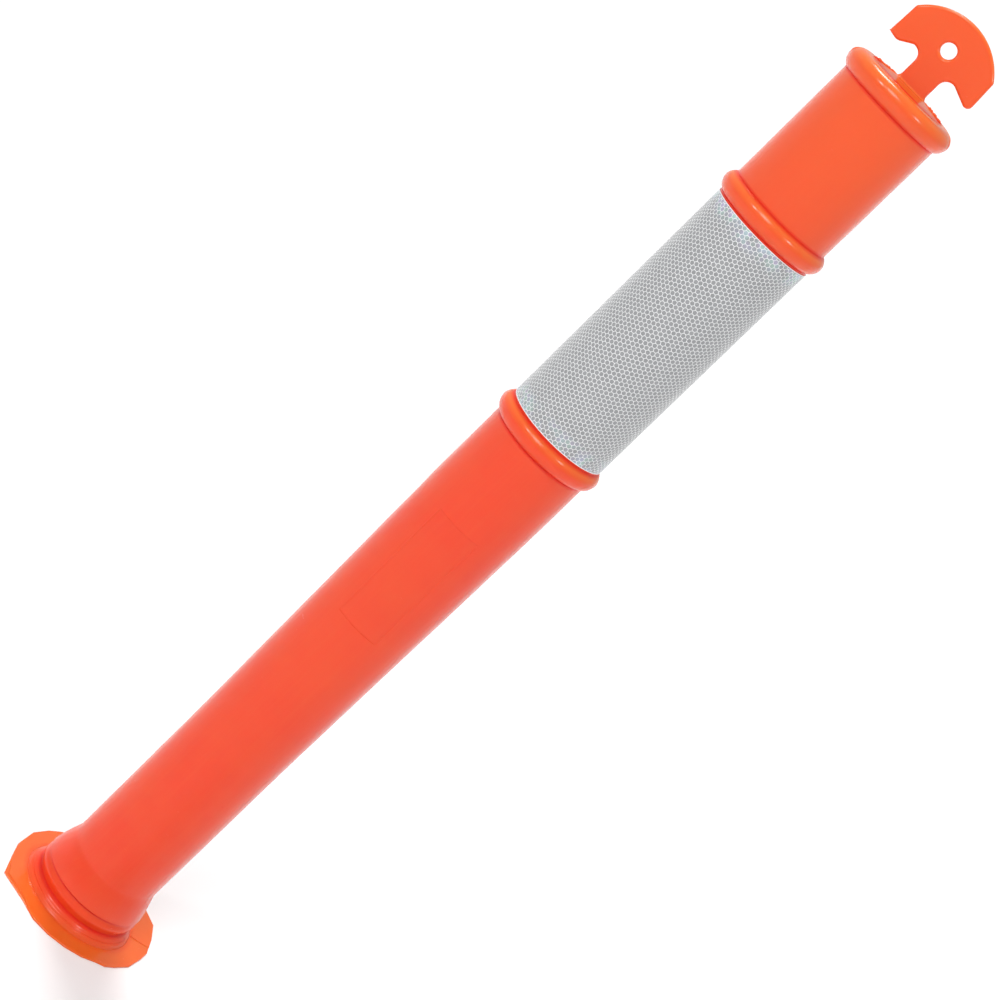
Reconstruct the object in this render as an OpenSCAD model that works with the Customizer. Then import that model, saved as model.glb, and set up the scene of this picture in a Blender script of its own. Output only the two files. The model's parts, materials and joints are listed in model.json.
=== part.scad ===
// T-top traffic bollard stem: a hollow orange stem with three round beads, a
// pinched T-shaped handle on top, a trimmed foot flange, and a wrapped band of
// honeycomb retroreflective sheeting between the two upper-middle beads.
// Millimetres, +Z up, origin on the ground under the stem's axis. The T plate
// and the mould's parting line lie in the XZ plane.

/* [Stem] */
// Height of the closing disc's top face above the ground
disc_z = 1074; // [1074:0.5:1080]
// Outside radius of the upper stem, under the band
stem_r = 51.4; // [51.2:0.05:52]
// Outside radius of the lower stem
stem_low_r = 47.6; // [47:0.1:49]
// Height at which the lower stem starts to widen
taper_low_z = 240; // [200:5:300]
// Height at which the stem reaches its upper radius
taper_high_z = 560; // [545:5:625]
// Thickness of the stem's wall
wall = 3; // [2.5:0.1:3.5]

/* [Beads] */
// Radius of a bead's round section
bead_r = 11; // [10.5:0.1:11.5]
// Outside radius of the stem over a bead
bead_out_r = 57.3; // [57:0.1:58.4]
// Height of the middle of the bead under the band
bead_low_z = 643.8; // [640:0.1:644]
// Height of the middle of the bead over the band
bead_mid_z = 917.3; // [917:0.1:930]
// Height of the middle of the bead at the top
bead_top_z = 1062.4; // [1060:0.1:1063]

/* [T handle] */
// Radius of the disc that closes the stem
disc_r = 40.5; // [38:0.5:42]
// Height by which the disc rises in a shallow cone to the stalk
dome_h = 3; // [2:0.5:4]
// Height of the T above the disc
t_h = 76; // [72:1:78]
// Thickness of the T plate
t_thick = 12; // [8:0.5:16]
// Half width of the T at the foot of its sides
t_half_w = 47.1; // [46:0.1:50]
// Half width of the T at the head of its sides
t_shoulder_x = 45.7; // [44:0.1:47]
// Height of the T's shoulders above the disc
t_shoulder_h = 53.5; // [50:0.5:56]
// Half width of the T's stalk
stalk_half_w = 14.4; // [12:0.1:15]
// Radius of the throat between the stalk and an arm
throat_r = 8.5; // [7:0.5:9]
// Height of an arm's lowest point above the disc
arm_tip_h = 23; // [21:0.5:25]
// Radius of an arm's outer lower corner
arm_tip_r = 5; // [3:0.5:6]
// Height of the throat's crest above the disc
throat_h = 29.5; // [28:0.5:31]
// Radius of the tie hole
tie_hole_r = 7; // [6:0.5:8.5]
// Height of the tie hole above the disc
tie_hole_h = 46; // [45:0.5:49]

/* [Foot] */
// Thickness of the flange
flange_t = 3; // [2.5:0.1:4]
// Radius of the open foot
foot_bore_r = 49.6; // [48:0.1:50]
// Radius of the bell's lower edge
bell_r = 55.5; // [55:0.1:56.5]
// Radius of the neck under the bell
neck_r = 55; // [54:0.1:55]
// Height of the bell's lower edge
bell_z = 30; // [29:0.5:32]
// Height at which the bell leaves the straight stem
bell_top_z = 61; // [55:1:75]
// Height of the lower neck groove
groove_z = 12.6; // [12:0.1:15]
// Depth of the neck grooves
groove_d = 1.6; // [1:0.1:2]

/* [Label recess] */
// Width of the recess
recess_w = 45; // [30:1:50]
// Height of the recess's lower edge
recess_z = 409; // [380:1:420]
// Height of the recess
recess_h = 133; // [100:1:150]
// Depth of the recess
recess_d = 0.5; // [0.3:0.1:0.8]

/* [Reflective band] */
// Width of the sheeting
band_h = 250; // [200:10:250]
// Thickness of the adhesive
adhesive_t = 0.1; // [0.08:0.01:0.15]
// Thickness of the white backing film
backing_t = 0.15; // [0.1:0.01:0.2]
// Thickness of the honeycomb seal web
web_t = 0.15; // [0.1:0.01:0.2]
// Thickness of the clear face film
face_t = 0.2; // [0.15:0.01:0.25]
// Length by which the sheeting overlaps itself at the back
lap_w = 15; // [10:1:25]

/* [Hidden] */

ORANGE = [0.94, 0.34, 0.20];
ORANGE_THIN = [0.97, 0.41, 0.20];
FULL = 96;
EPS = 0.01;

bead_zs = [bead_low_z, bead_mid_z, bead_top_z];
bead_c = bead_out_r - bead_r;
crest_z = bead_top_z + bead_r;
roof_z = crest_z - wall;
overall_h = disc_z + t_h;

flare_steps = 8;
flare_power = 1.25;

arm_tip_x = t_half_w - arm_tip_r;
throat_x = stalk_half_w + throat_r;
crown_drop = t_h - t_shoulder_h;
crown_r = (t_shoulder_x * t_shoulder_x + crown_drop * crown_drop) / (2 * crown_drop);
stalk_foot_half_w = 18;
stalk_foot_h = 6;

// Corners of the straight knife cuts round the flange: angle from +X, and radius
flange_trim = [[4, 83], [14, 86], [30, 90], [44, 97], [56, 96], [72, 91], [90, 88], [108, 88], [121, 91],
               [130, 89], [143, 84], [160, 80], [170, 77], [186, 77], [202, 78], [211, 81], [225, 91], [246, 83],
               [260, 87], [273, 86], [286, 84], [300, 82], [312, 80], [320, 82], [330, 81], [345, 82]];

band_z = (bead_low_z + bead_mid_z) / 2 - band_h / 2;
adhesive_r = stem_r + adhesive_t;
backing_r = adhesive_r + backing_t;
web_r = backing_r + web_t;
face_r = web_r + face_t;
lap_r = face_r + adhesive_t + backing_t + web_t + face_t;
lap_half_angle = asin(lap_w / 2 / face_r);

function arc_points(c, r, from, to, steps) =
    [for (i = [0:steps]) let (a = from + (to - from) * i / steps) c + r * [cos(a), sin(a)]];

// Outside of the bell from its top to its lower edge, for t from 0 to 1
function flare_point(t, inset) =
    [stem_low_r - inset + (bell_r - stem_low_r) * (1 - pow(1 - t, flare_power)),
     bell_top_z - t * (bell_top_z - bell_z)];

// Half section of the stem's straight, tapered and belled lengths. Inset, it
// is the hollow inside them, which runs out through the bell's mouth.
module stem_section(inset, top) {
    mouth = inset > 0 ? [[bell_r - inset, bell_z - 1], [0, bell_z - 1]] : [[0, bell_z]];
    polygon(concat(
        [[0, top], [stem_r - inset, top], [stem_r - inset, taper_high_z],
         [stem_low_r - inset, taper_low_z]],
        [for (i = [0:flare_steps]) flare_point(i / flare_steps, inset)],
        mouth));
}

// One bead, whole
module bead(z, inset) {
    translate([0, 0, z]) rotate_extrude($fn = FULL)
        translate([bead_c, 0]) circle(r = bead_r - inset, $fn = FULL);
}

// The stem's whole body, up to the shoulder round the closing disc
module stem_body(inset) {
    rotate_extrude($fn = FULL) stem_section(inset, bead_top_z);
    for (z = bead_zs) bead(z, inset);
    translate([0, 0, bead_top_z - EPS])
        cylinder(r = bead_c, h = bead_r - inset + EPS, $fn = FULL);
}

module label_recess_cut() {
    slope = (stem_r - stem_low_r) / (taper_high_z - taper_low_z);
    floor_low_r = stem_low_r + slope * (recess_z - taper_low_z) - recess_d;
    floor_high_r = floor_low_r + slope * recess_h;
    difference() {
        translate([-recess_w / 2, -stem_r - 1, recess_z]) cube([recess_w, stem_r, recess_h]);
        translate([0, 0, recess_z])
            cylinder(r1 = floor_low_r, r2 = floor_high_r, h = recess_h, $fn = FULL);
    }
}

// Blown tube with its beads, its belled foot and the shoulder round the closing disc
module stem_tube() color(ORANGE) difference() {
    stem_body(0);
    stem_body(wall);
    cylinder(r = disc_r, h = overall_h, $fn = FULL);
    label_recess_cut();
}

// Half outline of the T, from the stalk's foot round the arm to the crown
function t_half_outline() = concat(
    [[stalk_foot_half_w, 0], [stalk_half_w, stalk_foot_h]],
    arc_points([throat_x, throat_h - throat_r], throat_r, 180, 80, 8),
    arc_points([arm_tip_x, arm_tip_h + arm_tip_r], arm_tip_r, -105, 3, 8),
    arc_points([0, t_h - crown_r], crown_r, acos(t_shoulder_x / crown_r), 90, 12));

module t_outline() {
    right = t_half_outline();
    last = len(right) - 1;
    polygon(concat(right, [for (i = [last - 1:-1:0]) [-right[i][0], right[i][1]]]));
}

// Pinched T plate with its tie hole, on the disc that closes the stem
module t_top() color(ORANGE) union() {
    translate([0, 0, roof_z]) cylinder(r = disc_r, h = disc_z - roof_z, $fn = FULL);
    translate([0, 0, disc_z - EPS])
        cylinder(r1 = disc_r - 1.5, r2 = stalk_foot_half_w - 2, h = dome_h + EPS, $fn = FULL);
    difference() {
        translate([0, t_thick / 2, disc_z - EPS]) rotate([90, 0, 0])
            linear_extrude(t_thick) t_outline();
        translate([0, t_thick, disc_z + tie_hole_h]) rotate([90, 0, 0])
            cylinder(r = tie_hole_r, h = 2 * t_thick, $fn = FULL);
    }
}

// Half section of the neck, with its two grooves and the steps down to the flange
module neck_section() {
    polygon([[foot_bore_r, 0], [neck_r + 7, 0], [neck_r + 7, flange_t], [neck_r + 4.5, 6.5],
             [neck_r + 3.5, 7.5], [neck_r + 1.5, 9.5], [neck_r + 0.6, groove_z - 1.4],
             [neck_r - groove_d, groove_z], [neck_r - 0.6, groove_z + 2.2],
             [neck_r - 0.4, bell_z - 7], [neck_r + 0.2, bell_z - 5],
             [neck_r - groove_d, bell_z - 3.2], [neck_r - groove_d, bell_z - 2],
             [neck_r - 0.6, bell_z], [foot_bore_r, bell_z]]);
}

// Neck and knife-trimmed flange round the open foot
module foot_flange() color(ORANGE_THIN) union() {
    rotate_extrude($fn = FULL) neck_section();
    difference() {
        linear_extrude(flange_t) polygon([for (p = flange_trim) p[1] * [cos(p[0]), sin(p[0])]]);
        translate([0, 0, -1]) cylinder(r = neck_r, h = flange_t + 2, $fn = FULL);
    }
}

// One layer of the sheeting, wrapped round the stem
module band_layer(r_in, r_out) {
    translate([0, 0, band_z]) difference() {
        cylinder(r = r_out, h = band_h, $fn = FULL);
        translate([0, 0, -1]) cylinder(r = r_in, h = band_h + 2, $fn = FULL);
    }
}

module band_adhesive() color([0.93, 0.90, 0.78]) band_layer(stem_r, adhesive_r);

module band_backing_film() color([0.95, 0.95, 0.95]) band_layer(adhesive_r, backing_r);

module band_seal_web() color([0.86, 0.87, 0.88]) band_layer(backing_r, web_r);

module band_face_film() color([0.78, 0.80, 0.82]) band_layer(web_r, face_r);

// Tail of the sheeting, laid over its own start at the back of the stem
module band_lap() color([0.78, 0.80, 0.82]) intersection() {
    band_layer(face_r, lap_r);
    rotate([0, 0, 90 - lap_half_angle]) translate([0, 0, band_z])
        rotate_extrude(angle = 2 * lap_half_angle, $fn = FULL) square([lap_r + 1, band_h]);
}

stem_tube();
t_top();
foot_flange();
band_adhesive();
band_backing_film();
band_seal_web();
band_face_film();
band_lap();
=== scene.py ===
import json
import math
import random

import bmesh
import bpy
from mathutils import Matrix, Vector, noise


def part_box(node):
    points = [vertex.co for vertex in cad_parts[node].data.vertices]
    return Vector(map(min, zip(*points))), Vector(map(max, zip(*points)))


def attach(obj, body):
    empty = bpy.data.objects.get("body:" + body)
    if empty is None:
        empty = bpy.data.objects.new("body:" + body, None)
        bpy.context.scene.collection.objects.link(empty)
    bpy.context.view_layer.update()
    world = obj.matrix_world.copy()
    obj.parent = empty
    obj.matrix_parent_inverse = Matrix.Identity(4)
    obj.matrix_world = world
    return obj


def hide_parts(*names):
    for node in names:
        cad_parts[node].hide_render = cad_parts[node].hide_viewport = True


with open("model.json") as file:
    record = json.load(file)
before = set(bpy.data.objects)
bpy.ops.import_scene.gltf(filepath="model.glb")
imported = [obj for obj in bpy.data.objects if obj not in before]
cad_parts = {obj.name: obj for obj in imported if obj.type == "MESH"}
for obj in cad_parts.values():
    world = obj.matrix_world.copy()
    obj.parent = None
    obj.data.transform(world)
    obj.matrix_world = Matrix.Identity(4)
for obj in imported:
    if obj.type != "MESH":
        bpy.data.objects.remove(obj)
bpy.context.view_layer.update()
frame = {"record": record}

MM = 0.001


# ---------------------------------------------------------------- sizes from the frame

stem_lo, stem_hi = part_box("stem_tube")
top_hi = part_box("t_top")[1]
foot_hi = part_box("foot_flange")[1]
glue_lo, glue_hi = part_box("band_adhesive")
backing_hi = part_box("band_backing_film")[1]
web_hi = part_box("band_seal_web")[1]
face_lo, face_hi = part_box("band_face_film")
lap_lo, lap_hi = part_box("band_lap")
mounts = {m["name"]: m for m in frame["record"]["mounts"]}

BELL_Z = stem_lo.z
FOOT_TOP_Z = foot_hi.z
CREST_Z = stem_hi.z
BEAD_OUT_R = stem_hi.x
T_HALF_W = top_hi.x
T_TOP_Z = top_hi.z
BORE_R = mounts["foot_bore"]["dims"]["r_mm"] * MM
HOLE_R = mounts["tie_hole"]["dims"]["r_mm"] * MM
HOLE_Z = mounts["tie_hole"]["pos_m"][2]
T_THICK = mounts["tie_hole"]["dims"]["length_mm"] * MM

# Sizes inside the moulding, as in the CAD
BEAD_R = 11 * MM
BEAD_MID_R = BEAD_OUT_R - BEAD_R
TOP_BEAD_Z = CREST_Z - BEAD_R
BEAD_ZS = (0.6438, 0.9173, TOP_BEAD_Z)
STEM_R = 51.4 * MM
STEM_LOW_R = 47.6 * MM
TAPER_Z = (0.240, 0.560)
BELL_R = 55.5 * MM
BELL_TOP_Z = 61 * MM
WALL = 3 * MM
DISC_R = 40.5 * MM
DISC_Z = 1.074
DOME_H = 3 * MM
RECESS_W = 45 * MM
RECESS_Z = (0.409, 0.542)
RECESS_D = 0.5 * MM
RECESS_WALL_R = 50.2 * MM  # the wall's radius about the middle of the recess

# Half the height of a bead where it meets the wall, and how far the small radius beside it reaches
CREASE_HALF = math.sqrt(BEAD_R**2 - (STEM_R - BEAD_MID_R) ** 2)
FILLET_REACH = 1.6 * MM

FRONT = math.radians(-90)
RECESS_ANGLE = math.asin(RECESS_W / 2 / RECESS_WALL_R)
PARTING_ANGLES = (0.0, math.pi)

# A small nick in the front of the lower stem
NICK_Z = 0.189
NICK_ANGLE = FRONT + math.asin(0.032 / STEM_LOW_R)
NICK_HALF_W = 1.6 * MM
NICK_HALF_H = 0.9 * MM
NICK_D = 0.5 * MM


def lerp(a, b, t):
    return a + (b - a) * t


def smooth_step(a, b, x):
    t = min(1.0, max(0.0, (x - a) / (b - a)))
    return t * t * (3 - 2 * t)


def waves(x, y, z, size, seed=0.0):
    """Smooth noise from -1 to 1 with bumps about size metres long."""
    return noise.noise(Vector((x, y, z + seed)) / size)


# ---------------------------------------------------------------- mesh helpers


def add_object(name, mesh, node=None):
    obj = bpy.data.objects.new(name, mesh)
    bpy.context.scene.collection.objects.link(obj)
    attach(obj, "root")
    if node:
        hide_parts(node)
    return obj


def mesh_from(name, verts, faces):
    mesh = bpy.data.meshes.new(name)
    mesh.from_pydata([tuple(v) for v in verts], [], faces)
    mesh.validate()
    bm = bmesh.new()
    bm.from_mesh(mesh)
    bmesh.ops.remove_doubles(bm, verts=bm.verts, dist=0.000002)
    bmesh.ops.recalc_face_normals(bm, faces=bm.faces)
    bm.to_mesh(mesh)
    bm.free()
    return mesh


def shade_by_angle(obj, degrees):
    """Smooth shading, with an edge kept sharp where its faces meet at more than degrees."""
    mesh = obj.data
    mesh.shade_smooth()
    limit = math.radians(degrees)
    bm = bmesh.new()
    bm.from_mesh(mesh)
    for edge in bm.edges:
        edge.smooth = len(edge.link_faces) != 2 or edge.calc_face_angle(0.0) < limit
    bm.to_mesh(mesh)
    bm.free()


def grid_faces(rows, columns, close_rows=False):
    """Quads of a grid whose columns close into a ring, and whose rows may too."""
    faces = []
    for i in range(rows if close_rows else rows - 1):
        for j in range(columns):
            below, above = i * columns, ((i + 1) % rows) * columns
            right = (j + 1) % columns
            faces.append((below + j, below + right, above + right, above + j))
    return faces


def clustered(low, high, step, clusters):
    """Values from low up to high about step apart, with closer ones round each cluster's centre."""
    count = round((high - low) / step)
    values = [low + (high - low) * i / count for i in range(count)]
    for centre, offsets in clusters:
        values = [v for v in values if abs(v - centre) > max(offsets) + step * 0.2]
        values += [centre + s * o for o in offsets for s in ((1, -1) if o else (1,))]
    return sorted(values)


# ---------------------------------------------------------------- the blown stem


def stem_profile():
    """Outside points (radius, height) of the stem, from the bell's lower edge to the top shoulder."""
    bell_rows = 24
    points = [bell_point(1 - i / bell_rows) for i in range(bell_rows)]
    crease_angle = math.asin(CREASE_HALF / BEAD_R)
    bead_steps = 30
    start = BELL_TOP_Z
    for bead_z in BEAD_ZS:
        clusters = [(e, (0.0002, 0.0006)) for e in RECESS_Z if start < e < bead_z]
        if start < NICK_Z < bead_z:
            clusters.append((NICK_Z, (0.0, 0.0005, 0.0012, 0.002)))
        stop = bead_z - CREASE_HALF - FILLET_REACH
        points += [(wall_radius(z), z) for z in clustered(start, stop, 0.005, clusters)]
        for gap in (FILLET_REACH, 0.8 * MM, 0.3 * MM):
            z = bead_z - CREASE_HALF - gap
            points.append((wall_radius(z) + crease_fillet(gap), z))
        last = bead_z == BEAD_ZS[-1]
        top_angle = math.radians(90) if last else crease_angle
        for i in range(bead_steps + 1):
            a = lerp(-crease_angle, top_angle, i / bead_steps)
            points.append((BEAD_MID_R + BEAD_R * math.cos(a), bead_z + BEAD_R * math.sin(a)))
        if not last:
            for gap in (0.3 * MM, 0.8 * MM):
                z = bead_z + CREASE_HALF + gap
                points.append((wall_radius(z) + crease_fillet(gap), z))
            start = bead_z + CREASE_HALF + FILLET_REACH
    return points


def bell_point(t):
    """Outside of the bell (radius, height), for t from 0 at its top to 1 at its lower edge."""
    soft = 0.06
    eased = (t - soft * (1 - math.exp(-t / soft))) / (1 - soft)
    return lerp(STEM_LOW_R, BELL_R, 1 - (1 - min(1.0, eased)) ** 1.25), lerp(BELL_TOP_Z, BELL_Z, t)


def wall_radius(z):
    """Outside radius of the plain wall between the beads."""
    t = min(1.0, max(0.0, (z - TAPER_Z[0]) / (TAPER_Z[1] - TAPER_Z[0])))
    return lerp(STEM_LOW_R, STEM_R, t)


def crease_fillet(gap):
    """How far the small radius beside a bead stands off the wall, gap metres from the crease."""
    return 0.25 * MM * max(0.0, 1 - gap / FILLET_REACH) ** 2


def turn_from(angle, centre):
    """Signed turn from centre to angle, in radians, the short way round."""
    return (angle - centre + math.pi) % (2 * math.pi) - math.pi


def parting_ridge(angle, z):
    """Height of the mould's parting line at this angle and height on the stem."""
    height = 0
    for centre in PARTING_ANGLES:
        across = abs(turn_from(angle, centre)) * STEM_R / (0.45 * MM)
        if across < 2:
            flash = 0.22 + 0.10 * waves(0, 0, z, 0.035, 3 + centre)
            on_top_bead = smooth_step(TOP_BEAD_Z - 0.004, TOP_BEAD_Z + 0.006, z)
            flash += on_top_bead * (0.5 + 0.5 * waves(0, 0, z, 0.006, 9 + centre))
            height += max(0.0, flash) * MM * (1 - smooth_step(0.2, 2, across))
    return height


def recess_depth(angle, z):
    """How far the pressed rectangle is sunk at this angle and height, with softened edges."""
    soft = 0.3 * MM
    across = abs(turn_from(angle, FRONT)) * RECESS_WALL_R
    half = RECESS_ANGLE * RECESS_WALL_R
    inside = 1 - smooth_step(half - soft, half + soft, across)
    up = smooth_step(RECESS_Z[0] - soft, RECESS_Z[0] + soft, z)
    down = 1 - smooth_step(RECESS_Z[1] - soft, RECESS_Z[1] + soft, z)
    return RECESS_D * inside * up * down


def nick_depth(angle, z):
    """Depth of the slanting oval nick, which is deepest in its middle."""
    across = turn_from(angle, NICK_ANGLE) * STEM_LOW_R
    reach = math.hypot(across / NICK_HALF_W, (z - NICK_Z - 0.5 * across) / NICK_HALF_H)
    return NICK_D * smooth_step(1.0, 0.2, reach)


def wall_waviness(r, angle, z):
    """The soft unevenness of a blown wall, in metres."""
    x, y = r * math.cos(angle), r * math.sin(angle)
    broad = 0.16 * waves(x, y, z * 0.6, 0.060)
    fine = 0.035 * waves(x, y, z, 0.014, 5)
    return (broad + fine) * MM


def build_stem():
    outside = stem_profile()
    step = math.radians(2)
    offsets = tuple(d * MM / STEM_R for d in (0.0, 0.35, 0.9))
    side = (0.25 * MM / STEM_R, 0.7 * MM / STEM_R)
    clusters = [(PARTING_ANGLES[0], offsets), (PARTING_ANGLES[1], offsets),
                (FRONT - RECESS_ANGLE, side), (FRONT + RECESS_ANGLE, side),
                (NICK_ANGLE, tuple(d * MM / STEM_LOW_R for d in (0.0, 0.5, 1.2)))]
    low = math.radians(-179)
    angles = clustered(low, low + 2 * math.pi, step, clusters)
    verts = []
    for r0, z0 in outside:
        for a in angles:
            r = r0 + wall_waviness(r0, a, z0) + parting_ridge(a, z0)
            r -= recess_depth(a, z0) + nick_depth(a, z0)
            verts.append((r * math.cos(a), r * math.sin(a), z0))
    inner_r = BEAD_R - WALL
    inside = [(DISC_R, CREST_Z), (DISC_R, CREST_Z - WALL), (BEAD_MID_R, CREST_Z - WALL)]
    for bead_z in reversed(BEAD_ZS):
        half = math.asin(math.sqrt(inner_r**2 - (STEM_R - WALL - BEAD_MID_R) ** 2) / inner_r)
        top = math.radians(80) if bead_z == BEAD_ZS[-1] else half
        for i in range(9):
            a = lerp(top, -half, i / 8)
            inside.append((BEAD_MID_R + inner_r * math.cos(a), bead_z + inner_r * math.sin(a)))
    inside += [(wall_radius(z) - WALL, z) for z in (TAPER_Z[1], TAPER_Z[0])]
    for i in range(9):
        t = i / 8
        r, z = bell_point(t)
        inside.append((r - WALL, z))
    for r, z in inside:
        verts += [(r * math.cos(a), r * math.sin(a), z) for a in angles]
    rows = len(outside) + len(inside)
    mesh = mesh_from("stem", verts, grid_faces(rows, len(angles), close_rows=True))
    obj = add_object("stem", mesh, "stem_tube")
    shade_by_angle(obj, 38)
    return obj


# ---------------------------------------------------------------- the T handle


def arc(cx, cy, r, start, stop, steps):
    turns = [math.radians(lerp(start, stop, i / steps)) for i in range(steps + 1)]
    return [(cx + r * math.cos(a), cy + r * math.sin(a)) for a in turns]


def t_outline():
    """The T seen from the front, from the stalk's right foot round to its left foot.

    The left hook has a flat-cut underside, and the right one a round tip."""
    shoulder_x, shoulder_h = 45.7 * MM, 53.5 * MM
    height = T_TOP_Z - DISC_Z
    drop = height - shoulder_h
    crown = (shoulder_x**2 + drop**2) / (2 * drop)
    tip = 5 * MM
    right = t_arm(29.5 * MM) + arc(T_HALF_W - tip, 23 * MM + tip, tip, -105, 3, 12)
    cut = ((34.6, 23.4), (36.4, 22.6), (38.4, 22.3), (42.4, 23.0), (46.6, 23.8), (46.9, 26.0))
    left = [(-x, y) for x, y in t_arm(29.7 * MM) + [(x * MM, y * MM) for x, y in cut]]
    left_end = math.degrees(math.acos(shoulder_x / crown))
    over = arc(0, height - crown, crown, left_end, 180 - left_end, 60)
    return right + over + list(reversed(left))


def t_arm(throat_h):
    """The right edge of the stalk and the throat beside it."""
    stalk, throat = 14.4 * MM, 8.5 * MM
    points = [(18 * MM, -1 * MM), (17 * MM, 1.5 * MM), (stalk, 6 * MM)]
    return points + arc(stalk + throat, throat_h - throat, throat, 180, 80, 14)


def build_t_handle():
    """The plate as a filled curve with rounded edges, joined to its disc and remeshed as one skin."""
    edge = 2.6 * MM
    curve = bpy.data.curves.new("t_plate", "CURVE")
    curve.dimensions = "2D"
    curve.fill_mode = "BOTH"
    hole = arc(0, HOLE_Z - DISC_Z, HOLE_R, 0, 360, 48)[:-1]
    for points in (t_outline(), hole):
        spline = curve.splines.new("POLY")
        spline.points.add(len(points) - 1)
        for point, (x, y) in zip(spline.points, points):
            point.co = (x, y, 0, 1)
        spline.use_cyclic_u = True
    curve.extrude = T_THICK / 2 - edge
    curve.bevel_depth = edge
    curve.bevel_resolution = 5
    curve.offset = -edge
    flat = bpy.data.objects.new("t_plate", curve)
    bpy.context.scene.collection.objects.link(flat)
    stand = Matrix.Translation((0, 0, DISC_Z)) @ Matrix.Rotation(math.radians(90), 4, "X")
    bpy.context.view_layer.update()
    mesh = bpy.data.meshes.new_from_object(flat)
    mesh.transform(stand)
    bpy.data.objects.remove(flat)
    bm = bmesh.new()
    bm.from_mesh(mesh)
    disc = disc_section()
    turns = [2 * math.pi * i / 160 for i in range(160)]
    rows = [[bm.verts.new((r * math.cos(a), r * math.sin(a), z)) for a in turns] for r, z in disc]
    for low, high in zip(rows, rows[1:]):
        for j in range(len(turns)):
            k = (j + 1) % len(turns)
            bm.faces.new((low[j], low[k], high[k], high[j]))
    bm.faces.new(list(reversed(rows[0])))
    bm.faces.new(rows[-1])
    bmesh.ops.remove_doubles(bm, verts=bm.verts, dist=0.00001)
    bmesh.ops.recalc_face_normals(bm, faces=bm.faces)
    bm.to_mesh(mesh)
    bm.free()
    obj = add_object("t_handle", mesh, "t_top")
    remesh = obj.modifiers.new("skin", "REMESH")
    remesh.mode = "VOXEL"
    remesh.voxel_size = 0.75 * MM
    soften = obj.modifiers.new("soften", "SMOOTH")
    soften.factor = 0.5
    soften.iterations = 6
    apply_modifiers(obj)
    settle_t_skin(obj.data)
    add_disc_flash(obj)
    obj.data.shade_smooth()
    return obj


def disc_section():
    """(radius, height) points of the closing disc: its underside, its rim and its shallow cone."""
    rim = 1.2 * MM
    under = CREST_Z - WALL
    points = [(DISC_R - 0.05 * MM, under)]
    points += [(DISC_R - 0.05 * MM - rim + rim * math.cos(a), DISC_Z - rim + rim * math.sin(a))
               for a in [math.radians(15 * i) for i in range(6)]]
    points += [(r, disc_top(r)) for r in (38 * MM, 30 * MM, 23 * MM, 16 * MM)]
    return points


def disc_top(r):
    """Height of the disc's upper face, which rises in a shallow cone to the stalk."""
    return DISC_Z + DOME_H * min(1.0, max(0.0, (39 * MM - r) / (23 * MM)))


def settle_t_skin(mesh):
    """Pulls the softened skin back inside the CAD's faces, and gives it a moulding's slight unevenness."""
    normals = [v.normal.copy() for v in mesh.vertices]
    half = T_THICK / 2
    for v, normal in zip(mesh.vertices, normals):
        x, y, z = v.co
        dent = 0.12 * MM * waves(x, y, z, 0.022, 2)
        place = v.co + normal * (dent - 0.12 * MM)
        place.z = min(place.z, T_TOP_Z)
        if place.z > DISC_Z + DOME_H + MM:
            place.y = max(-half, min(half, place.y))
        v.co = place


def apply_modifiers(obj):
    evaluated = obj.evaluated_get(bpy.context.evaluated_depsgraph_get())
    mesh = bpy.data.meshes.new_from_object(evaluated)
    obj.modifiers.clear()
    obj.data = mesh


def add_disc_flash(obj):
    """The fins of flash over the disc on both sides of the stalk, and the spike at the left hook's tip."""
    bm = bmesh.new()
    bm.from_mesh(obj.data)
    steps = 40
    for side, start, stop in ((1, 16, 39.6), (-1, 16, 40.4)):
        rows = []
        for i in range(steps + 1):
            t = i / steps
            x = side * lerp(start, stop, t) * MM
            ends = smooth_step(-0.2, 0.5, t) * smooth_step(1, 0.9, t)
            top = 0.9 + 2.2 * abs(waves(x, 0, 0, 0.007, 4 + side)) + 0.9 * waves(x, 0, 0, 0.0016, 5)
            foot = disc_top(abs(x))
            top = foot + max(0.02, top * ends) * MM
            half = (0.30 + 0.1 * waves(x, 0, 0, 0.006, 7)) * MM
            lean = 0.5 * MM * waves(x, 0, 0, 0.012, 11)
            base = foot - 0.8 * MM
            rows.append([bm.verts.new(p) for p in ((x, -1.6 * half, base), (x, lean - half * 0.5, top),
                                                   (x, lean + half * 0.5, top), (x, 1.6 * half, base))])
        for a, b in zip(rows, rows[1:]):
            for k in range(4):
                m = (k + 1) % 4
                bm.faces.new((a[k], a[m], b[m], b[k]))
        bm.faces.new(rows[0])
        bm.faces.new(list(reversed(rows[-1])))
    tip = (-46.6 * MM, DISC_Z + 24.2 * MM)
    thin = 0.25 * MM
    reach = (((0.6, 1.6), 1), ((-0.9, -0.2), 0.4), ((1.4, -0.5), 1))
    sides = [[bm.verts.new((tip[0] + dx * MM, side * thin * share, tip[1] + dz * MM))
              for (dx, dz), share in reach] for side in (-1, 1)]
    bm.faces.new(sides[0])
    bm.faces.new(list(reversed(sides[1])))
    for k in range(3):
        m = (k + 1) % 3
        bm.faces.new((sides[0][k], sides[1][k], sides[1][m], sides[0][m]))
    bmesh.ops.recalc_face_normals(bm, faces=bm.faces)
    bm.to_mesh(obj.data)
    bm.free()


# ---------------------------------------------------------------- the foot

# Points round the flange's trimmed rim, joined by straight lines: degrees from +X, and radius in
# millimetres, as in the CAD
TRIM = ((4, 83), (14, 86), (30, 90), (44, 97), (56, 96), (72, 91), (90, 88), (108, 88), (121, 91),
        (130, 89), (143, 84), (160, 80), (170, 77), (186, 77), (202, 78), (211, 81), (225, 91), (246, 83),
        (260, 87), (273, 86), (286, 84), (300, 82), (312, 80), (320, 82), (330, 81), (345, 82))
FLANGE_T = 3 * MM
RIM_T = 2 * MM
NECK_FOOT_R = 62 * MM


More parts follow.
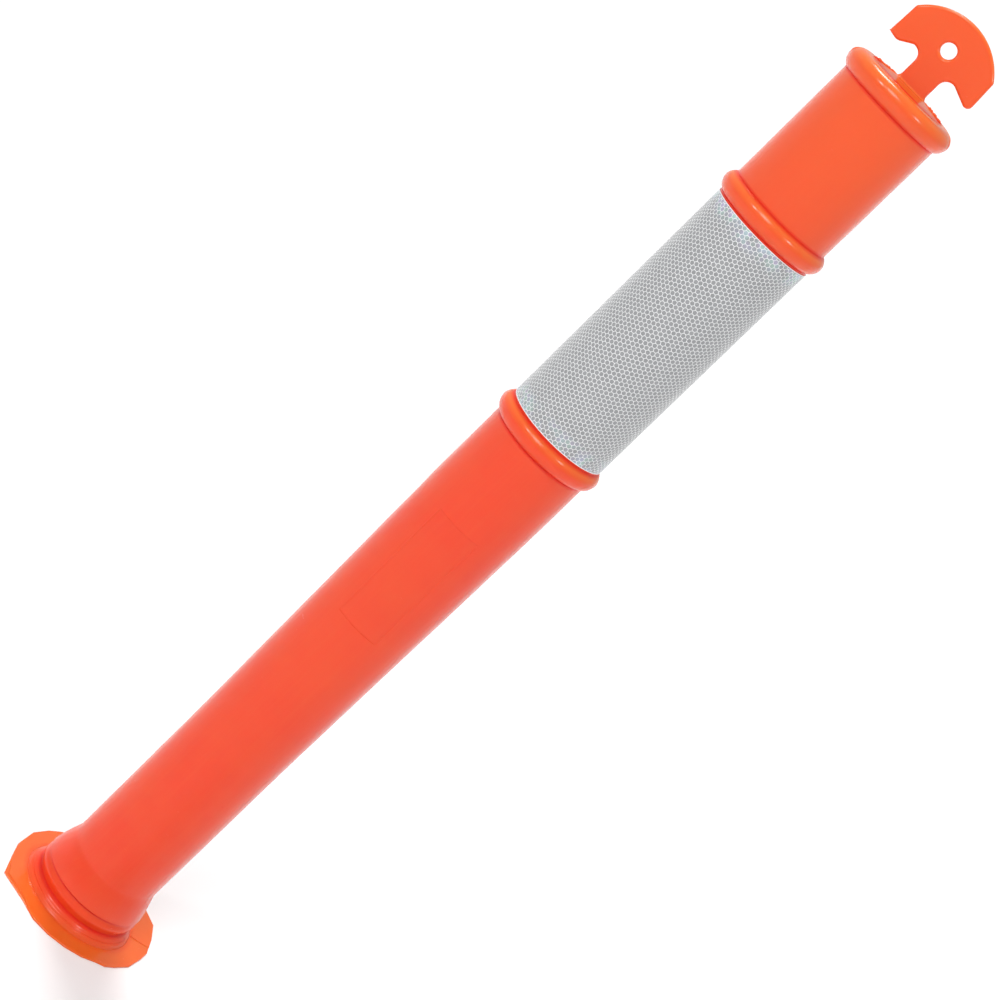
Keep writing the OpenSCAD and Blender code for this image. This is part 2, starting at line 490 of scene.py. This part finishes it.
def trim_radius(angle):
    """Where the ray at this angle crosses the straight lines between the rim's points."""
    turn = math.degrees(angle) % 360
    corners = list(TRIM) + [(TRIM[0][0] + 360, TRIM[0][1])]
    if turn < corners[0][0]:
        turn += 360
    for (d0, r0), (d1, r1) in zip(corners, corners[1:]):
        if d0 <= turn <= d1:
            a, b = math.radians(turn - d0), math.radians(d1 - turn)
            return MM * r0 * r1 * math.sin(a + b) / (r0 * math.sin(a) + r1 * math.sin(b))
    return MM * TRIM[0][1]


SEAM_IN, SEAM_OUT = math.radians(16.6), math.radians(20.2)
SEAM_RIM_R = 84 * MM  # the rim's radius where the seam reaches it
SEAM_CORNER = 14  # this point of the rim gets no column of its own, because the seam's lie beside it
SEAM_STEP = 0.75 * MM
SEAM_FADE = (math.radians(120), math.radians(170))
LIP_FROM, LIP_TO = math.radians(211), math.radians(252)
LIP_W = 5.2 * MM
LIP_DROP = 1.1 * MM


def lip_width(angle):
    """How far the torn lip at the flange's front left corner reaches in from the rim."""
    turn = angle % (2 * math.pi)
    share = (turn - LIP_FROM) / (LIP_TO - LIP_FROM)
    return LIP_W * math.sin(math.pi * share) ** 0.6 if 0 < share < 1 else 0.0


def flange_height(angle, r, rim, past_seam):
    """Height of the flange's upper face above the ground."""
    out = (r - NECK_FOOT_R) / (rim - NECK_FOOT_R)
    x, y = r * math.cos(angle), r * math.sin(angle)
    z = lerp(FLANGE_T, RIM_T, smooth_step(0, 1, out))
    z += (0.22 * waves(x, y, 0, 0.030, 1) + 0.08 * waves(x, y, 0, 0.009, 6)) * smooth_step(0, 0.2, out) * MM
    if past_seam:
        turn = angle % (2 * math.pi)
        z += SEAM_STEP * (1 - smooth_step(*SEAM_FADE, turn)) * smooth_step(-0.02, 0.05, out)
    return z


def seam_turn(angle, r):
    """Turns the grid's columns near the seam so that one of them follows it outward."""
    near = smooth_step(math.radians(14), 0, abs(turn_from(angle, SEAM_IN)))
    out = (r - NECK_FOOT_R) / (SEAM_RIM_R - NECK_FOOT_R)
    return (SEAM_OUT - SEAM_IN) * max(0.0, out) * near


def build_foot():
    step = math.radians(1.5)
    seam = tuple(d * MM / NECK_FOOT_R for d in (0.12, 0.5))
    corners = [d if d < 180 else d - 360 for d, _ in TRIM if d != SEAM_CORNER]
    marks = [(math.radians(d), (0.0,)) for d in corners]
    marks.append((SEAM_IN, seam))
    low = math.radians(-179)
    angles = clustered(low, low + 2 * math.pi, step, marks)
    rows = [[(a, r + 0.12 * MM * waves(math.cos(a), math.sin(a), z, 0.25, 8),
              z + neck_wander(a, z)) for a in angles] for r, z in neck_profile()]
    past = [0 < turn_from(a, SEAM_IN) < SEAM_FADE[1] for a in angles]
    inner, outer = 12, 4
    shares = [(i / inner, 0.0) for i in range(1, inner)] + [(1.0, 0.0)]
    shares += [(1.0, 0.12 + 0.88 * i / outer) for i in range(outer)]
    for inside, outside in shares:
        row = []
        for a, rear in zip(angles, past):
            rim = trim_radius(a + seam_turn(a, SEAM_RIM_R))
            lip = max(lip_width(a), 2 * MM)
            r = lerp(NECK_FOOT_R, rim - lip, inside) + outside * (lip - 0.4 * MM)
            z = flange_height(a, r, rim, rear)
            if lip_width(a) and outside:
                z -= LIP_DROP * smooth_step(0, 1 * MM, lip_width(a))
            row.append((a + seam_turn(a, r), r, z))
        rows.append(row)
    for back, share in ((0.4, 1.0), (0.0, 0.78), (0.1, 0.5), (0.0, 0.22), (0.35, 0.0)):
        row = []
        for (a, r, z), straight in zip(rows[inner + outer + len(neck_profile()) - 1], angles):
            rim = trim_radius(straight + seam_turn(straight, SEAM_RIM_R))
            row.append((a, rim - back * MM, z * share))
        rows.append(row)
    for r, z in ((BORE_R + 1.0 * MM, 0.0), (BORE_R, 1.0 * MM), (BORE_R, FOOT_TOP_Z)):
        rows.append([(a, r, z) for a in angles])
    verts = [(r * math.cos(a), r * math.sin(a), z) for row in rows for a, r, z in row]
    mesh = mesh_from("foot", verts, grid_faces(len(rows), len(angles), close_rows=True))
    obj = add_object("foot", mesh, "foot_flange")
    shade_by_angle(obj, 32)
    return obj


def neck_wander(angle, z):
    """The creases round the neck aren't quite level."""
    middle = math.sin(math.pi * min(1.0, max(0.0, z / BELL_Z)))
    return 0.35 * MM * middle * waves(math.cos(angle), math.sin(angle), 0, 0.9, 12)


def neck_profile():
    """Outside of the neck from the bell's edge down to the flange, easing between its creases and rings."""
    turns = ((54.5, 30.0), (53.3, 28.2), (55.9, 21.0), (53.3, 12.8), (56.4, 10.4), (58.5, 8.4),
             (58.5, 7.6), (60.4, 6.0), (62.0, 3.0))
    points = [turns[0]]
    for (r0, z0), (r1, z1) in zip(turns, turns[1:]):
        steps = max(3, round((z0 - z1) / 0.7))
        for i in range(1, steps + 1):
            t = i / steps
            points.append((lerp(r0, r1, smooth_step(0, 1, t)), lerp(z0, z1, t)))
    return [(r * MM, z * MM) for r, z in points]


# ---------------------------------------------------------------- the reflective sheeting

COLUMNS = 90
CELL_STEP = 2 * math.pi / COLUMNS
PITCH = face_hi.x * CELL_STEP * 2 / math.sqrt(3)
WEB_SHARE = 0.115
MARGIN = 0.6 * MM
LAP_SLIP = 0.4 * CELL_STEP  # the tail's cells don't line up with those under them
CELL_DEPTH = 0.05 * MM


def ring_mesh(name, inner, outer, low, high, segments=COLUMNS * 3):
    turns = [2 * math.pi * i / segments for i in range(segments)]
    section = ((outer, low), (outer, high), (inner, high), (inner, low))
    verts = [(r * math.cos(a), r * math.sin(a), z) for r, z in section for a in turns]
    return mesh_from(name, verts, grid_faces(4, segments, close_rows=True))


def clipped(polygon, limit, keep_above):
    """The part of a convex polygon of (turn, height, radius) points on one side of a height."""
    sign = 1 if keep_above else -1
    out = []
    for p, q in zip(polygon, polygon[1:] + polygon[:1]):
        inside_p, inside_q = sign * (p[1] - limit) >= 0, sign * (q[1] - limit) >= 0
        if inside_p:
            out.append(p)
        if inside_p != inside_q:
            t = (limit - p[1]) / (q[1] - p[1])
            out.append(tuple(lerp(a, b, t) for a, b in zip(p, q)))
    return out


def honeycomb(outer, cell_r, low, high, first, count):
    """Convex faces of a honeycomb sheet: (kind, cell number, corners), kind 0 for web and 1 for cell.

    It is count columns wide from column first. The web's lines lie at radius outer and the cells at
    cell_r."""
    faces = []
    side = PITCH / math.sqrt(3)
    scale = CELL_STEP / (PITCH * math.sqrt(3) / 2)
    rows = int((high - low) / PITCH) + 3
    for column in range(first, first + count):
        for row in range(-1, rows):
            mid_turn = column * CELL_STEP
            mid_z = low + (row + (0.5 if column % 2 else 0.0)) * PITCH
            turns = [math.radians(60 * k) for k in range(6)]
            rim = [(mid_turn + side * math.cos(t) * scale, mid_z + side * math.sin(t), outer)
                   for t in turns]
            lip = 1 - WEB_SHARE
            cell = [(lerp(mid_turn, u, lip), lerp(mid_z, z, lip), cell_r) for u, z, _ in rim]
            number = column * 1000 + row
            polygons = [(0, [rim[k], rim[(k + 1) % 6], cell[(k + 1) % 6], cell[k]]) for k in range(6)]
            polygons.append((1, cell))
            for kind, polygon in polygons:
                polygon = clipped(clipped(polygon, low, True), high, False)
                if len(polygon) >= 3:
                    faces.append((kind, number, polygon))
    return faces


def on_cylinder(point):
    turn, z, r = point
    return (r * math.cos(turn), r * math.sin(turn), z)


def honeycomb_skin(sheets):
    """A mesh of honeycomb sheets with the cells' random tones, open at its rims."""
    bm = bmesh.new()
    tone = bm.faces.layers.float.new("cell_tone")
    rng = random.Random(7)
    tones = {}
    for kind, number, polygon in sheets:
        face = bm.faces.new([bm.verts.new(on_cylinder(p)) for p in polygon])
        face.material_index = kind
        face[tone] = tones.setdefault(number, rng.random())
    bmesh.ops.remove_doubles(bm, verts=bm.verts, dist=0.02 * MM)
    for face in [f for f in bm.faces if f.calc_area() < 1e-12]:
        bm.faces.remove(face)
    return bm


def wrap_to_radius(verts, radius):
    for v in verts:
        turn = math.atan2(v.co.y, v.co.x)
        v.co.x, v.co.y = radius * math.cos(turn), radius * math.sin(turn)


def new_verts(made):
    return [g for g in made["geom"] if isinstance(g, bmesh.types.BMVert)]


def close_ring(bm, inner):
    """Gives an open honeycomb ring its two rims and a plain inside."""
    rims = [e for e in bm.edges if e.is_boundary]
    made = bmesh.ops.extrude_edge_only(bm, edges=rims)
    wrap_to_radius(new_verts(made), inner)
    bmesh.ops.bridge_loops(bm, edges=[e for e in bm.edges if e.is_boundary])


def close_patch(bm, inner):
    """Gives an open honeycomb patch its four rims and an inside that follows the stem."""
    made = bmesh.ops.duplicate(bm, geom=bm.faces[:])
    inside = [g for g in made["geom"] if isinstance(g, bmesh.types.BMFace)]
    wrap_to_radius({v for f in inside for v in f.verts}, inner)
    bmesh.ops.reverse_faces(bm, faces=inside)
    rims = [e for e in bm.edges if e.is_boundary]
    bmesh.ops.bridge_loops(bm, edges=rims)


def film(name, node, bm):
    bmesh.ops.recalc_face_normals(bm, faces=bm.faces)
    mesh = bpy.data.meshes.new(name)
    bm.to_mesh(mesh)
    bm.free()
    obj = add_object(name, mesh, node)
    shade_by_angle(obj, 30)
    return obj


def sealed_and_highlight_strips(bm, low, high, r):
    """Adds the film's two plain strips, below and above its honeycomb: sealed edges, whose white also
    serves as a painted highlight along the film's edges beside the beads.
    """
    ends = {round(low + MARGIN, 6), round(high - MARGIN, 6)}
    rims = [e for e in bm.edges if e.is_boundary and all(round(v.co.z, 6) in ends for v in e.verts)]
    made = bmesh.ops.extrude_edge_only(bm, edges=rims)
    strips = new_verts(made)
    for v in strips:
        v.co.z += MARGIN if v.co.z > (low + high) / 2 else -MARGIN
    wrap_to_radius(strips, r)
    for face in [g for g in made["geom"] if isinstance(g, bmesh.types.BMFace)]:
        face.material_index = 0


def build_band():
    """The sheeting's layers, from the adhesive out."""
    low, high = glue_lo.z, glue_hi.z
    glue = add_object("band_glue", ring_mesh("band_glue", STEM_R, glue_hi.x, low, high), "band_adhesive")
    backing = add_object("band_backing", ring_mesh("band_backing", glue_hi.x, backing_hi.x, low, high),
                         "band_backing_film")
    for ring in (glue, backing):
        shade_by_angle(ring, 30)
    inner_low, inner_high = low + MARGIN, high - MARGIN
    cells = honeycomb(web_hi.x, backing_hi.x + 0.03 * MM, inner_low, inner_high, 0, COLUMNS)
    bm = honeycomb_skin(cells)
    sealed_and_highlight_strips(bm, low, high, web_hi.x)
    close_ring(bm, backing_hi.x)
    web = film("band_web", "band_seal_web", bm)
    cells = honeycomb(face_hi.x, face_hi.x - CELL_DEPTH, inner_low, inner_high, 0, COLUMNS)
    bm = honeycomb_skin(cells)
    sealed_and_highlight_strips(bm, low, high, face_hi.x)
    close_ring(bm, web_hi.x)
    face = film("band_face", "band_face_film", bm)
    half = (lap_hi.x - lap_lo.x) / 2 / lap_hi.y
    back = math.pi / 2
    first = int((back - half) / CELL_STEP) - 1
    cells = honeycomb(lap_hi.y, lap_hi.y - CELL_DEPTH, inner_low, inner_high, first, 8)
    patch = []
    for kind, number, polygon in cells:
        swapped = [(z, u + LAP_SLIP, r) for u, z, r in polygon]
        swapped = clipped(clipped(swapped, back - half, True), back + half, False)
        if len(swapped) >= 3:
            patch.append((kind, number, [(u, z, r) for z, u, r in swapped]))
    bm = honeycomb_skin(patch)
    sealed_and_highlight_strips(bm, low, high, lap_hi.y)
    close_patch(bm, face_hi.x)
    tail = film("band_tail", "band_lap", bm)
    return glue, backing, web, face, tail


# ---------------------------------------------------------------- materials


class Paint:
    """A new material with its shader, and short ways to add nodes to it."""

    def __init__(self, name):
        self.material = bpy.data.materials.new(name)
        self.material.use_nodes = True
        self.tree = self.material.node_tree
        self.shader = self.tree.nodes["Principled BSDF"]
        spot = self.add("ShaderNodeTexCoord")
        self.place, self.facing = spot.outputs["Object"], spot.outputs["Normal"]

    def add(self, kind, inputs=(), **settings):
        node = self.tree.nodes.new(kind)
        for key, value in settings.items():
            setattr(node, key, value)
        for key, value in dict(inputs).items():
            self.give(node.inputs[key], value)
        return node

    def give(self, socket, value):
        if isinstance(value, bpy.types.NodeSocket):
            self.tree.links.new(value, socket)
        else:
            socket.default_value = value

    def set(self, **inputs):
        for key, value in inputs.items():
            self.give(self.shader.inputs[key.replace("_", " ")], value)

    def noise(self, scale, detail=2.0, stretch=None, roughness=0.5):
        place = self.place
        if stretch:
            place = self.add("ShaderNodeMapping", {"Vector": place, "Scale": stretch}).outputs[0]
        made = self.add("ShaderNodeTexNoise",
                        {"Vector": place, "Scale": scale, "Detail": detail, "Roughness": roughness})
        return made.outputs[0]

    def remap(self, value, low, high, to_low=0.0, to_high=1.0):
        return self.add("ShaderNodeMapRange", {"Value": value, "From Min": low, "From Max": high,
                                               "To Min": to_low, "To Max": to_high}).outputs[0]

    def math(self, operation, a, b=0.0):
        return self.add("ShaderNodeMath", {0: a, 1: b}, operation=operation).outputs[0]

    def mix(self, factor, a, b, blend="MIX"):
        node = self.add("ShaderNodeMix", data_type="RGBA", blend_type=blend)
        for key, value in (("Factor_Float", factor), ("A_Color", a), ("B_Color", b)):
            self.give(next(s for s in node.inputs if s.identifier == key), value)
        return next(s for s in node.outputs if s.identifier == "Result_Color")

    def bump(self, height, distance, strength=1.0, normal=None):
        node = self.add("ShaderNodeBump", {"Height": height, "Distance": distance, "Strength": strength})
        if normal:
            self.give(node.inputs["Normal"], normal)
        return node.outputs[0]

    def height(self):
        """How high up the object the point is, in metres."""
        return self.add("ShaderNodeSeparateXYZ", {0: self.place}).outputs[2]


def orange_plastic(name, low_colour, upper_lit_colour, pale_and_lit_colour, tint_share, creases, flange_light_from=None):
    """Blow-moulded polyethylene: orange peel, die lines along it, faint clouding and a few scuffs, with
    painted light: lighter going up and on faces turned up, a paler lit flange, and painted shade in the
    creases.
    """
    paint = Paint(name)
    # Painted light: the colour turns from the lower orange to a lighter one between 0.55 m and 1.1 m,
    # standing in for the stronger light on the upper stem and the T.
    rise = paint.remap(paint.height(), 0.55, 1.1)
    colour = paint.mix(rise, low_colour, upper_lit_colour)
    # Painted light: between the two radii given, the foot's flange fades to the paler, lit orange, standing
    # in for the light it catches from above and through its thin plastic.
    if flange_light_from:
        flat = paint.add("ShaderNodeMapping", {"Vector": paint.place, "Scale": (1, 1, 0)}).outputs[0]
        reach = paint.add("ShaderNodeVectorMath", {0: flat}, operation="LENGTH").outputs["Value"]
        colour = paint.mix(paint.remap(reach, *flange_light_from), colour, pale_and_lit_colour)
    # Painted light: faces turned up, above half a metre, go a lighter, warmer orange, standing in for the
    # light from above on the beads' tops, the disc and the T.
    faces_up = paint.add("ShaderNodeSeparateXYZ", {0: paint.facing}).outputs[2]
    painted_top_light = paint.remap(paint.height(), 0.5, 0.6, 0, 0.75)
    painted_top_light = paint.math("MULTIPLY", paint.remap(faces_up, 0.05, 0.75), painted_top_light)
    colour = paint.mix(painted_top_light, colour, TOP_LIT_ORANGE)
    clouds = paint.remap(paint.noise(14, 3), 0.35, 0.7)
    colour = paint.mix(paint.math("MULTIPLY", clouds, tint_share), colour, pale_and_lit_colour)
    die = paint.noise(1, 2, stretch=(420, 420, 7))
    colour = paint.mix(paint.remap(die, 0.45, 0.75, 0, 0.10), colour, pale_and_lit_colour)
    scuffs = paint.remap(paint.noise(1, 4, stretch=(90, 90, 700), roughness=0.7), 0.66, 0.76)
    patches = paint.remap(paint.noise(22, 2), 0.5, 0.66)
    scuffs = paint.math("MULTIPLY", scuffs, patches)
    pale = tuple(lerp(c, 1.0, 0.25) for c in pale_and_lit_colour[:3]) + (1,)
    colour = paint.mix(paint.math("MULTIPLY", scuffs, 0.22), colour, pale)
    # Painted shade: the colour deepens to red in the creases beside the beads, round the neck and where the
    # T meets its disc, with less specular reflection there.
    crease_shade = crease_shade_share(paint, creases)
    colour = paint.mix(crease_shade, colour, CREASE_SHADE_RED)
    rough = paint.remap(clouds, 0, 1, 0.19, 0.24)
    paint.set(Base_Color=colour, Roughness=paint.math("ADD", rough, paint.math("MULTIPLY", scuffs, 0.2)))
    duller = paint.math("MULTIPLY", crease_shade, 0.3)
    paint.set(IOR=1.5, Specular_IOR_Level=paint.math("SUBTRACT", 0.36, duller))
    paint.set(Subsurface_Weight=0.4, Subsurface_Radius=(1.0, 0.2, 0.08), Subsurface_Scale=0.005)
    peel = paint.bump(paint.noise(850, 2), 0.05 * MM, 0.35)
    lines = paint.bump(die, 0.06 * MM, 0.3, peel)
    paint.set(Normal=paint.bump(scuffs, 0.02 * MM, 0.4, lines))
    return paint.material


def crease_shade_share(paint, creases):
    """Up to 0.8 in each crease round the moulding: the mask of the painted shade, where the colour deepens
    to stand in for the shade in the crease.
    """
    share = 0.0
    for height, width in creases:
        away = paint.math("ABSOLUTE", paint.math("SUBTRACT", paint.height(), height))
        share = paint.math("MAXIMUM", share, paint.remap(away, width * 0.2, width, 0.8, 0))
    return share


def cell_film():
    """The face film over a cell: silver-grey beads under a clear gloss, with a painted iridescent sheen
    near both beads.
    """
    paint = Paint("reflective_cells")
    tone = paint.add("ShaderNodeAttribute", attribute_name="cell_tone").outputs["Fac"]
    grain = paint.remap(paint.noise(2600, 2), 0.3, 0.7, -0.06, 0.06)
    grey = paint.math("ADD", paint.remap(tone, 0, 1, 0.275, 0.305), grain)
    colour = paint.add("ShaderNodeCombineColor", {"Red": grey, "Green": paint.math("MULTIPLY", grey, 1.02),
                                                  "Blue": paint.math("MULTIPLY", grey, 1.05)}).outputs[0]
    hue = paint.remap(tone, 0, 1, 0.42, 0.72)
    # Painted sheen: iridescent tints near both beads.
    shimmer = paint.add("ShaderNodeCombineColor", {"Red": hue, "Green": 0.36, "Blue": 0.66}, mode="HSV")
    share = painted_sheen_share(paint)
    paint.set(Base_Color=paint.mix(paint.math("MULTIPLY", share, 0.75), colour, shimmer.outputs[0]))
    paint.set(Roughness=0.42, Metallic=0.15, Coat_Weight=0.7, Coat_Roughness=0.16, Coat_IOR=1.5)
    paint.set(Specular_IOR_Level=0.3)
    paint.set(Normal=paint.bump(paint.noise(1900, 2), 0.02 * MM, 0.3))
    return paint.material


def painted_sheen_share(paint):
    """Mask of the painted sheen: 1 beside the two beads that bound the sheeting, fading out over its
    nearest 15 mm.
    """
    up = paint.height()
    below = paint.remap(up, face_lo.z + 0.002, face_lo.z + 0.018, 1, 0)
    above = paint.remap(up, face_hi.z - 0.018, face_hi.z - 0.002, 0, 1)
    patchy = paint.remap(paint.noise(70, 2), 0.35, 0.6)
    return paint.math("MULTIPLY", paint.math("ADD", below, above), patchy)


def weld_film(name, grey, gloss):
    """The white lines where the face film is welded down."""
    paint = Paint(name)
    shade = paint.remap(paint.noise(600, 3), 0.3, 0.7, 0.86, 1.0)
    colour = (grey, grey * 1.005, grey * 1.02, 1)
    tint = paint.add("ShaderNodeCombineColor", {"Red": shade, "Green": shade, "Blue": shade}).outputs[0]
    paint.set(Base_Color=paint.mix(1.0, colour, tint, "MULTIPLY"))
    paint.set(Roughness=0.4, Coat_Weight=gloss, Coat_Roughness=0.18, Coat_IOR=1.5, Specular_IOR_Level=0.3)
    paint.set(Normal=paint.bump(paint.noise(1500, 2), 0.02 * MM, 0.4))
    return paint.material


def plain_film(name, colour, roughness, grain):
    """A thin film seen only where the sheeting is taken apart."""
    paint = Paint(name)
    fleck = paint.remap(paint.noise(grain, 3), 0.35, 0.7, 0, 0.16)
    darker = tuple(c * 0.8 for c in colour[:3]) + (1,)
    paint.set(Base_Color=paint.mix(fleck, colour, darker))
    paint.set(Roughness=paint.remap(fleck, 0, 0.16, roughness, roughness + 0.15))
    paint.set(Normal=paint.bump(paint.noise(grain * 2, 2), 0.02 * MM, 0.4))
    return paint.material


LOW_ORANGE = (0.81, 0.056, 0.0150, 1)
# Painted light: the lighter orange of the upper stem and the T stands in for the stronger light up there.
UPPER_LIT_ORANGE = (0.80, 0.096, 0.0190, 1)
PALE_ORANGE = (0.82, 0.112, 0.022, 1)
# Pale orange of the foot's clouding, die lines and scuffs, and the painted light over its flange.
PALE_AND_FLANGE_LIT_ORANGE = (0.84, 0.140, 0.020, 1)
# Painted light on the faces turned up.
TOP_LIT_ORANGE = (0.86, 0.190, 0.028, 1)
# Painted shade in the creases.
CREASE_SHADE_RED = (0.74, 0.020, 0.014, 1)

stem = build_stem()
handle = build_t_handle()
foot = build_foot()
glue, backing, web, face, tail = build_band()

# Heights and widths of the creases that get painted shade.
stem_creases = [(z - CREASE_HALF, 3 * MM) for z in BEAD_ZS]
stem_creases += [(z + CREASE_HALF, 3 * MM) for z in BEAD_ZS[:2]]
neck_creases = [(28.3 * MM, 1.4 * MM), (12.9 * MM, 2.4 * MM)]
stem.data.materials.append(orange_plastic("stem_orange", LOW_ORANGE, UPPER_LIT_ORANGE, PALE_ORANGE, 0.25,
                                          creases=stem_creases))
handle.data.materials.append(orange_plastic("t_orange", LOW_ORANGE, UPPER_LIT_ORANGE, PALE_ORANGE, 0.35,
                                            creases=[(DISC_Z + 0.2 * MM, 0.8 * MM)]))
foot.data.materials.append(orange_plastic("foot_orange", LOW_ORANGE, LOW_ORANGE, PALE_AND_FLANGE_LIT_ORANGE, 0.2,
                                          creases=neck_creases, flange_light_from=(0.057, 0.067)))
weld = weld_film("weld_lines", 0.88, 0.6)
cells = cell_film()
for obj in (face, tail):
    obj.data.materials.append(weld)
    obj.data.materials.append(cells)
for material in (weld_film("web_lines", 0.75, 0.1), plain_film("web_floor", (0.6, 0.6, 0.62, 1), 0.5, 900)):
    web.data.materials.append(material)
glue.data.materials.append(plain_film("glue_film", (0.80, 0.74, 0.52, 1), 0.25, 500))
backing.data.materials.append(plain_film("backing_film", (0.82, 0.82, 0.82, 1), 0.6, 1200))


# ---------------------------------------------------------------- stage


def build_camera():
    """The photograph's view: from in front and above, rolled so that the stem leans up to the right."""
    aside, distance, height = 0.0077, 2.229, 1.212
    pitch, roll = 16.0, 90 - 44.17
    focal_share = 2.616
    data = bpy.data.cameras.new("view")
    data.lens = focal_share * data.sensor_width
    cam = bpy.data.objects.new("view", data)
    bpy.context.scene.collection.objects.link(cam)
    turn = Matrix.Rotation(math.radians(90 - pitch), 4, "X") @ Matrix.Rotation(math.radians(roll), 4, "Z")
    cam.matrix_world = Matrix.Translation((aside, -distance, height)) @ turn
    bpy.context.scene.camera = cam


def build_floor():
    """A white studio floor, wide enough to fill the view."""
    mesh = bpy.data.meshes.new("floor")
    shape = bmesh.new()
    bmesh.ops.create_circle(shape, cap_ends=True, radius=90, segments=96)
    shape.to_mesh(mesh)
    shape.free()
    floor = bpy.data.objects.new("floor", mesh)
    bpy.context.scene.collection.objects.link(floor)
    paint = Paint("studio_floor")
    mottle = paint.remap(paint.noise(3, 2), 0.3, 0.7, 0.905, 0.925)
    tint = paint.add("ShaderNodeCombineColor", {"Red": mottle, "Green": mottle, "Blue": mottle})
    paint.set(Base_Color=tint.outputs[0], Roughness=1.0, Specular_IOR_Level=0.0)
    mesh.materials.append(paint.material)


def soft_box(name, azimuth, elevation, distance, size, strength):
    """An area light aimed at the object's middle, at an azimuth in degrees to the right of the front."""
    data = bpy.data.lights.new(name, "AREA")
    data.shape = "RECTANGLE"
    data.size, data.size_y = size
    data.energy = strength
    light = bpy.data.objects.new(name, data)
    a, e = math.radians(azimuth - 90), math.radians(elevation)
    aim = Vector((0, 0, 0.6))
    toward = Vector((math.cos(e) * math.cos(a), math.cos(e) * math.sin(a), math.sin(e)))
    light.location = aim + distance * toward
    light.rotation_euler = (aim - light.location).to_track_quat("-Z", "Y").to_euler()
    bpy.context.scene.collection.objects.link(light)


def build_dome(zenith, horizon):
    """A white surround whose strength runs from the horizon value at the horizon to the zenith value
    overhead.
    """
    world = bpy.data.worlds.new("world")
    bpy.context.scene.world = world
    world.use_nodes = True
    tree = world.node_tree
    place = tree.nodes.new("ShaderNodeTexCoord")
    split = tree.nodes.new("ShaderNodeSeparateXYZ")
    ramp = tree.nodes.new("ShaderNodeMapRange")
    tree.links.new(place.outputs["Generated"], split.inputs[0])
    tree.links.new(split.outputs["Z"], ramp.inputs["Value"])
    ramp.inputs["To Min"].default_value = horizon
    ramp.inputs["To Max"].default_value = zenith
    tree.links.new(ramp.outputs[0], tree.nodes["Background"].inputs["Strength"])
    tree.nodes["Background"].inputs["Color"].default_value = (1, 1, 1, 1)


def soft_sun(name, azimuth, elevation, strength, spread):
    """A very broad, far light that gives the floor a soft shadow."""
    data = bpy.data.lights.new(name, "SUN")
    data.energy = strength
    data.angle = math.radians(spread)
    light = bpy.data.objects.new(name, data)
    light.rotation_euler = (math.radians(90 - elevation), 0, math.radians(azimuth))
    bpy.context.scene.collection.objects.link(light)


build_camera()
build_floor()
build_dome(zenith=0.46, horizon=0.62)
soft_sun("sun", azimuth=-18, elevation=46, strength=1.0, spread=22)
soft_sun("rim_sun", azimuth=-150, elevation=58, strength=1.6, spread=20)
soft_box("key", -44, 42, 2.2, (0.16, 0.16), 6)
soft_box("fill", 50, 42, 2.2, (0.16, 0.16), 6)
bpy.context.scene.view_settings.view_transform = "Standard"
